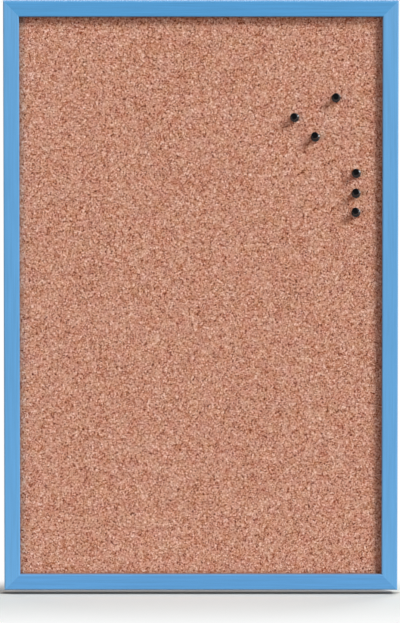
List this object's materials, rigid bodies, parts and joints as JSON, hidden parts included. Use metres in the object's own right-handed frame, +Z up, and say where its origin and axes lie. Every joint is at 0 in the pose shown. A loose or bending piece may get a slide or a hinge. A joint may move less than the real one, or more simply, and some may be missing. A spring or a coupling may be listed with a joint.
{
  "type": "cork pin board",
  "caption": "Portrait cork pin board in a mitred, painted wooden frame, with push pins that pull out of the cork and swinging D ring hangers on its back.",
  "frame": {"origin": "centre of the board, in the plane of the frame's back", "axes": "+Z up, +X to the right as seen from the front, +Y from the front towards the wall"},
  "size_m": [0.4, 0.0293, 0.6],
  "materials": {
    "frame_paint": "satin blue paint, brushed along each rail",
    "cork": "pressed cork granules, matte",
    "softboard": "soft fibreboard, raw",
    "hardboard": "hardboard, raw",
    "zinc_steel": "bright zinc plated",
    "pin_plastic": "glossy black, moulded",
    "pin_steel": "polished needle"
  },
  "bodies": {
    "board": {"rail_top": "frame_paint", "rail_bottom": "frame_paint", "rail_left": "frame_paint", "rail_right": "frame_paint", "cork_sheet": "cork", "softboard_core": "softboard", "backing_panel": "hardboard", "v_nail_top_left": "zinc_steel", "v_nail_top_right": "zinc_steel", "v_nail_bottom_left": "zinc_steel", "v_nail_bottom_right": "zinc_steel", "retaining_point_left_1": "zinc_steel", "retaining_point_left_2": "zinc_steel", "retaining_point_left_3": "zinc_steel", "retaining_point_right_1": "zinc_steel", "retaining_point_right_2": "zinc_steel", "retaining_point_right_3": "zinc_steel", "retaining_point_top_1": "zinc_steel", "retaining_point_top_2": "zinc_steel", "retaining_point_bottom_1": "zinc_steel", "retaining_point_bottom_2": "zinc_steel", "hanger_left_strap": "zinc_steel", "hanger_left_screw": "zinc_steel", "hanger_right_strap": "zinc_steel", "hanger_right_screw": "zinc_steel"},
    "ring_left": {"hanger_left_ring": "zinc_steel"},
    "ring_right": {"hanger_right_ring": "zinc_steel"},
    "pin_1": {"pin_1_grip": "pin_plastic", "pin_1_needle": "pin_steel"},
    "pin_2": {"pin_2_grip": "pin_plastic", "pin_2_needle": "pin_steel"},
    "pin_3": {"pin_3_grip": "pin_plastic", "pin_3_needle": "pin_steel"},
    "pin_4": {"pin_4_grip": "pin_plastic", "pin_4_needle": "pin_steel"},
    "pin_5": {"pin_5_grip": "pin_plastic", "pin_5_needle": "pin_steel"},
    "pin_6": {"pin_6_grip": "pin_plastic", "pin_6_needle": "pin_steel"}
  },
  "joints": [
    {"name": "ring_left_swing", "type": "hinge", "parent": "board", "child": "ring_left", "pos_m": [-0.194, 0.0022, 0.205], "axis": [1, 0, 0], "range_deg": [0, 180]},
    {"name": "ring_right_swing", "type": "hinge", "parent": "board", "child": "ring_right", "pos_m": [0.194, 0.0022, 0.205], "axis": [1, 0, 0], "range_deg": [0, 180]},
    {"name": "pin_1_pull", "type": "slide", "parent": "board", "child": "pin_1", "axis": [-0.0205, -0.9779, 0.2079], "range_m": [0, 0.02]},
    {"name": "pin_2_pull", "type": "slide", "parent": "board", "child": "pin_2", "axis": [-0.1061, -0.9771, 0.1846], "range_m": [0, 0.02]},
    {"name": "pin_3_pull", "type": "slide", "parent": "board", "child": "pin_3", "axis": [-0.0771, -0.9584, 0.2748], "range_m": [0, 0.02]},
    {"name": "pin_4_pull", "type": "slide", "parent": "board", "child": "pin_4", "axis": [-0.0854, -0.9763, 0.1986], "range_m": [0, 0.02]},
    {"name": "pin_5_pull", "type": "slide", "parent": "board", "child": "pin_5", "axis": [-0.0439, -0.9668, 0.2518], "range_m": [0, 0.02]},
    {"name": "pin_6_pull", "type": "slide", "parent": "board", "child": "pin_6", "axis": [-0.0738, -0.9586, 0.2749], "range_m": [0, 0.02]}
  ]
}
